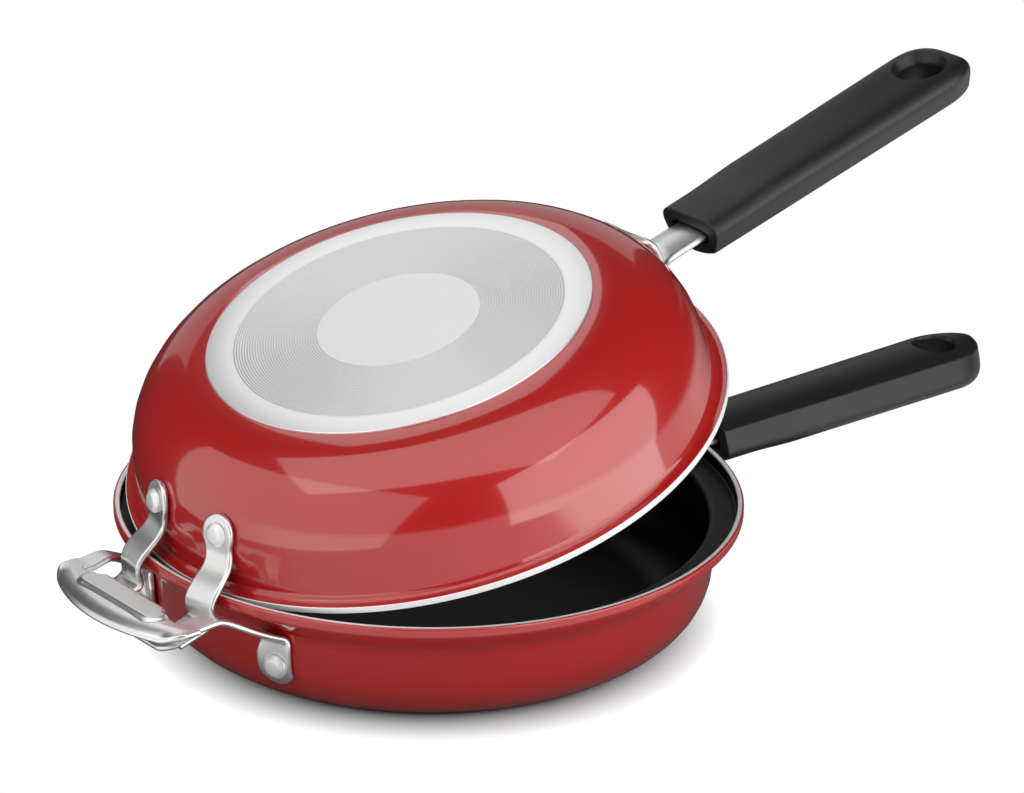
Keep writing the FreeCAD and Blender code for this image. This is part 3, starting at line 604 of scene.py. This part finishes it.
def hang_hole(pan):
    """The hang hole's cutter: a turned trumpet that flares where it leaves either side of the grip."""
    distance = np.linspace(-3, 24, 60)
    flare = 0.8 * (1 - smooth_step(0.2, 2.4, distance)) + 2.6 * smooth_step(13.5, 19.0, distance)
    profile = np.column_stack([HANG_HOLE_RADIUS + flare, away(pan, distance)])
    profile = np.vstack([[0, profile[0, 1]], profile, [0, profile[-1, 1]]])

    def at_hole(points):
        return pan["place"](points + np.array([HANG_HOLE_X, 0, 0]))

    return turned("hole", profile, None, at_hole, 96)


def tang_pocket(pan):
    """The cutter of the pocket in the grip's front: a squared oval that narrows a little as it goes in.

    The oval is the circle's (cos, sin) with both raised to a power below one, keeping their signs.
    """
    angle = np.linspace(0, 2 * np.pi, 64, endpoint=False)
    circle = np.stack([np.cos(angle), np.sin(angle)])
    oval = np.sign(circle) * np.abs(circle) ** 0.45
    x = np.linspace(GRIP_FRONT - 4, GRIP_FRONT + 13, 8)[:, None]
    narrow = 1 - 0.008 * (x - GRIP_FRONT)
    y = 11.4 * narrow * oval[0]
    distance = 9.6 + 3.4 * narrow * oval[1]
    return capped("pocket", np.stack([x + 0 * y, y, away(pan, distance)], axis=-1), pan["place"])


class Wire:
    """A socket in a node tree. Sums, differences and products of wires add Math nodes."""

    def __init__(self, nodes, socket):
        self.nodes = nodes
        self.socket = socket

    def math(self, operation, first, second):
        return self.nodes.node("ShaderNodeMath", {"operation": operation}, {0: first, 1: second})

    def __add__(self, other):
        return self.math("ADD", self, other)

    def __sub__(self, other):
        return self.math("SUBTRACT", self, other)

    def __mul__(self, other):
        return self.math("MULTIPLY", self, other)

    __radd__ = __add__
    __rmul__ = __mul__


class Nodes:
    """A node tree that is built one node at a time."""

    def __init__(self, tree):
        self.tree = tree

    def node(self, kind, settings=None, inputs=None, output=0):
        """Adds a node with its settings and its sockets, by name or number, and returns one output."""
        made = self.tree.nodes.new(kind)
        for name, value in (settings or {}).items():
            setattr(made, name, value)
        for key, value in (inputs or {}).items():
            self.put(made.inputs[key], value)
        return Wire(self, made.outputs[output])

    def put(self, socket, value):
        """Links a wire to a socket, or gives the socket a plain value."""
        if isinstance(value, Wire):
            self.tree.links.new(value.socket, socket)
        else:
            socket.default_value = value

    def mix(self, share, first, second):
        return self.node("ShaderNodeMix", {"data_type": "RGBA"}, {0: share, 6: first, 7: second}, 2)

    def place(self):
        return self.node("ShaderNodeTexCoord", output="Object")

    def reach(self):
        """The distance from the axis, in millimetres, that turned pieces keep."""
        return self.node("ShaderNodeAttribute", {"attribute_name": "reach"}, output="Fac")

    def seen(self):
        """1 for the camera's own rays, and 0 for all others."""
        return self.node("ShaderNodeLightPath", output="Is Camera Ray")

    def noise(self, scale, detail=2.0):
        return self.node("ShaderNodeTexNoise", {}, {"Vector": self.place(), "Scale": scale, "Detail": detail})

    def over(self, low, high, value):
        """0 below low and 1 above high, straight between them."""
        return self.node("ShaderNodeMapRange", {}, {"Value": value, "From Min": low, "From Max": high})

    def bump(self, height, strength, distance):
        inputs = {"Height": height, "Strength": strength, "Distance": distance}
        return self.node("ShaderNodeBump", {}, inputs)


def finish(name, look, **constants):
    """A material whose shader has constant sockets, and the changing ones that look(nodes) gives."""
    material = bpy.data.materials.new(name)
    material.use_nodes = True
    nodes = Nodes(material.node_tree)
    shader = material.node_tree.nodes["Principled BSDF"]
    for key, value in constants.items():
        shader.inputs[key.replace("_", " ")].default_value = value
    for key, value in look(nodes).items():
        nodes.put(shader.inputs[key], value)
    return material


def enamel_look(n):
    """Red enamel: slow clouds of depth in the colour, and the faint orange peel of a fired coat."""
    cloud = n.noise(11.0)
    peel = n.noise(620.0, 1.0)
    return {"Base Color": n.mix(cloud, (0.48, 0.0135, 0.0125, 1), (0.445, 0.012, 0.011, 1)),
            "Roughness": 0.26 + 0.1 * cloud,
            "Normal": n.bump(peel, 0.012, 0.001)}


def nonstick_look(n):
    """Black non-stick: a satin coat with fine pale flecks."""
    fleck = n.over(0.66, 0.72, n.noise(1500.0, 1.0))
    grain = n.noise(900.0)
    return {"Base Color": n.mix(fleck * 0.5, (0.004, 0.004, 0.0042, 1), (0.03, 0.03, 0.031, 1)),
            "Roughness": 0.36 + 0.12 * grain,
            "Normal": n.bump(grain, 0.03, 0.0006)}


def turned_rings(n, turns):
    """Fine lathe rings: one-way noise along the distance from the axis."""
    inputs = {"W": n.reach(), "Scale": turns, "Detail": 3.0}
    return n.node("ShaderNodeTexNoise", {"noise_dimensions": "1D"}, inputs)


def turned_base_look(n):
    """Bare aluminium faced on a lathe: fine rings, slow tarnish, and a brighter outer ring."""
    outer = n.over(67.0, 68.5, n.reach())
    rings = turned_rings(n, 3.1)
    cloud = n.noise(24.0, 3.0)
    metal = n.mix(cloud, (0.9, 0.9, 0.895, 1), (0.86, 0.86, 0.855, 1))
    return {"Base Color": n.mix(outer, metal, (0.96, 0.96, 0.955, 1)),
            "Roughness": 0.33 + 0.06 * rings - 0.03 * outer,
            "Normal": n.bump(rings, 0.03, 0.00025)}


def bare_rim_look(n):
    """The cut rim: bare aluminium, brushed along the edge."""
    rings = turned_rings(n, 5.0)
    wear = n.noise(60.0, 4.0)
    return {"Base Color": n.mix(wear, (0.97, 0.97, 0.965, 1), (0.93, 0.93, 0.925, 1)),
            "Roughness": 0.46 + 0.14 * rings,
            "Normal": n.bump(rings, 0.1, 0.0002)}


def polished_steel_look(n):
    """Polished stainless: faint smears in the gloss and hair scratches along Y."""
    smear = n.noise(55.0, 4.0)
    stretch = n.node("ShaderNodeMapping", {}, {"Vector": n.place(), "Scale": (2600.0, 60.0, 2600.0)})
    hair = n.node("ShaderNodeTexNoise", {}, {"Vector": stretch, "Scale": 1.0, "Detail": 1.0})
    return {"Base Color": n.mix(smear, (0.86, 0.857, 0.85, 1), (0.79, 0.787, 0.78, 1)),
            "Roughness": 0.27 + 0.06 * smear + 0.06 * hair,
            "Normal": n.bump(hair, 0.015, 0.0003)}


def rivet_look(n):
    """Satin aluminium rivet."""
    smear = n.noise(240.0, 3.0)
    return {"Base Color": n.mix(smear, (0.95, 0.95, 0.945, 1), (0.88, 0.88, 0.875, 1)),
            "Roughness": 0.36 + 0.12 * smear,
            "Normal": n.bump(smear, 0.05, 0.0004)}


def phenolic_look(n):
    """Moulded black phenolic: a fine spark-eroded grain with slight sheen changes where hands rub it."""
    grain = n.noise(1900.0)
    rub = n.noise(26.0, 3.0)
    return {"Base Color": n.mix(rub, (0.01, 0.01, 0.0102, 1), (0.016, 0.016, 0.0162, 1)),
            "Roughness": 0.33 + 0.1 * rub + 0.06 * grain,
            "Normal": n.bump(grain, 0.12, 0.0003)}


def screw_look(n):
    """Plated screw."""
    smear = n.noise(300.0, 3.0)
    return {"Base Color": n.mix(smear, (0.6, 0.6, 0.6, 1), (0.48, 0.48, 0.48, 1)),
            "Roughness": 0.25 + 0.15 * smear}


def table_look(n):
    """A grey table top. The camera sees it lifted to white by emission, but for a painted contact shadow
    round the base, where the emission falls to black.
    """
    painted_shadow_start, painted_shadow_end = 0.094, 0.121
    from_axis = n.node("ShaderNodeVectorMath", {"operation": "LENGTH"}, {0: n.place()}, "Value")
    # Painted contact shadow: the camera's emission is black inside the first radius and rises to white by the
    # second, in metres from the axis.
    outside_painted_shadow = n.over(painted_shadow_start, painted_shadow_end, from_axis)
    return {"Emission Color": n.mix(n.seen() * outside_painted_shadow, BLACK, WHITE)}


enamel = finish("red_enamel", enamel_look, IOR=1.3, Coat_Weight=1.0, Coat_Roughness=0.08, Coat_IOR=1.75)
nonstick = finish("black_nonstick", nonstick_look, IOR=1.28)
turned_base = finish("turned_aluminium", turned_base_look, Metallic=0.75)
bare_rim = finish("bare_rim_aluminium", bare_rim_look, Metallic=0.25)
polished_steel = finish("polished_steel", polished_steel_look, Metallic=1.0)
rivet_metal = finish("rivet_aluminium", rivet_look, Metallic=0.6)
phenolic = finish("black_phenolic", phenolic_look, IOR=1.5)
screw_metal = finish("plated_screw", screw_look, Metallic=1.0)
pale_table = finish("pale_table", table_look, Base_Color=(0.22, 0.22, 0.22, 1), Roughness=0.9,
                    Specular_IOR_Level=0.0, Emission_Strength=1.0)

pan_shell(LOWER, lower_outline())
pan_shell(UPPER, upper_outline())
lower_helper()
upper_helper()
for pan in (LOWER, UPPER):
    handle_bracket(pan)
    grip(pan)
    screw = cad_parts[pan["name"] + "_grip_screw"]
    screw.data.materials.clear()
    screw.data.materials.append(screw_metal)
helper, handle = {"end": BACK, "gauge": GAUGE}, {"end": FRONT, "gauge": TANG_GAUGE, "head": 4.2}
for hand, sign in (("left", 1), ("right", -1)):
    rivet(LOWER, "helper", hand, rise=24.0, side=PAD_SIDE * sign, head=5.0, **helper)
    rivet(LOWER, "handle", hand, rise=28.99, side=HANDLE_RIVET_SIDE * sign, **handle)
    rivet(UPPER, "helper", hand, rise=27.1, side=STRAP_SIDE * sign, head=4.8, **helper)
    rivet(UPPER, "handle", hand, rise=31.59, side=HANDLE_RIVET_SIDE * sign, **handle)


def table():
    """A small round table top under the pan, in metres."""
    radius, middle, drop = 0.2, 0.03, 0.0003
    angle = np.linspace(0, 2 * np.pi, 96, endpoint=False)
    rim = np.stack([middle + radius * np.cos(angle), radius * np.sin(angle), 0 * angle - drop], axis=-1)
    mesh = bpy.data.meshes.new("table")
    mesh.from_pydata(rim, [], [list(range(len(angle)))])
    mesh.materials.append(pale_table)
    add("table", mesh)


def room():
    """A dark room with pale ground in front, that the camera sees as plain white."""
    world = bpy.data.worlds.new("room")
    bpy.context.scene.world = world
    world.use_nodes = True
    nodes = Nodes(world.node_tree)
    direction = nodes.node("ShaderNodeTexCoord", output="Generated")
    x, y, z = (nodes.node("ShaderNodeSeparateXYZ", {}, {0: direction}, axis) for axis in range(3))
    right = nodes.over(-0.7, 0.7, 0.77 * x - 0.64 * y)
    ground = nodes.mix(right, (0.7, 0.7, 0.7, 1), (0.8, 0.8, 0.8, 1))
    low_in_front = nodes.over(0.0, -0.08, z) * nodes.over(0.5, 0.0, y)
    dim = nodes.mix(low_in_front, (0.03, 0.03, 0.03, 1), ground)
    nodes.put(world.node_tree.nodes["Background"].inputs["Color"], nodes.mix(nodes.seen(), dim, WHITE))


def direction_at(azimuth, elevation):
    """The unit direction from the object at an azimuth, from -Y towards +X, and an elevation, in degrees."""
    a, e = math.radians(azimuth), math.radians(elevation)
    return Vector((math.sin(a) * math.cos(e), -math.cos(a) * math.cos(e), math.sin(e)))


def softbox(name, azimuth, elevation, distance, width, height, radiance, roll=0.0):
    """A lamp that faces the object, in metres and degrees. Its power is radiance x pi x area."""
    lamp = bpy.data.lights.new(name, "AREA")
    lamp.shape = "RECTANGLE"
    lamp.size, lamp.size_y = width, height
    lamp.energy = radiance * math.pi * width * height
    light = add(name, lamp)
    back = direction_at(azimuth, elevation)
    light.location = Vector((0, 0, 0.09)) + back * distance
    light.rotation_mode = "QUATERNION"
    light.rotation_quaternion = (-back).to_track_quat("-Z", "Y") @ Quaternion((0, 0, 1), math.radians(roll))
    light.visible_camera = False


def camera():
    """The photograph's viewpoint, from a fit to the rims, the base disc, the grips and the hinge."""
    azimuth, elevation, roll, distance = -39.79, 22.45, math.radians(0.87), 1.69989
    aim = Vector((38.84, -4.66, 85.53)) * MM
    focal_pixels, photo_pixels, sensor = 4196.88, 1024, 36.0
    back = direction_at(azimuth, elevation)
    level_right = Vector((math.cos(math.radians(azimuth)), math.sin(math.radians(azimuth)), 0))
    level_up = back.cross(level_right)
    right = level_right * math.cos(roll) + level_up * math.sin(roll)
    up = level_up * math.cos(roll) - level_right * math.sin(roll)
    data = bpy.data.cameras.new("camera")
    data.sensor_width = sensor
    data.lens = sensor * focal_pixels / photo_pixels
    data.clip_end = 50.0
    place = Matrix((right, up, back)).transposed().to_4x4()
    place.translation = aim + back * distance
    viewer = add("camera", data)
    viewer.matrix_world = place
    bpy.context.scene.camera = viewer


table()
room()
softbox("left", azimuth=-99.5, elevation=13, distance=1.2, width=2.53, height=1.56, radiance=0.95)
softbox("right", azimuth=20.5, elevation=16, distance=1.2, width=1.66, height=1.17, radiance=2.0, roll=6)
softbox("overhead", azimuth=-48, elevation=72, distance=1.3, width=2.4, height=1.23, radiance=1.25)
softbox("back", azimuth=149, elevation=15, distance=1.3, width=1.2, height=0.72, radiance=0.38)
softbox("back_strip", azimuth=159, elevation=46, distance=1.3, width=0.46, height=0.8, radiance=1.1, roll=-18)
camera()
bpy.context.scene.view_settings.view_transform = "Standard"
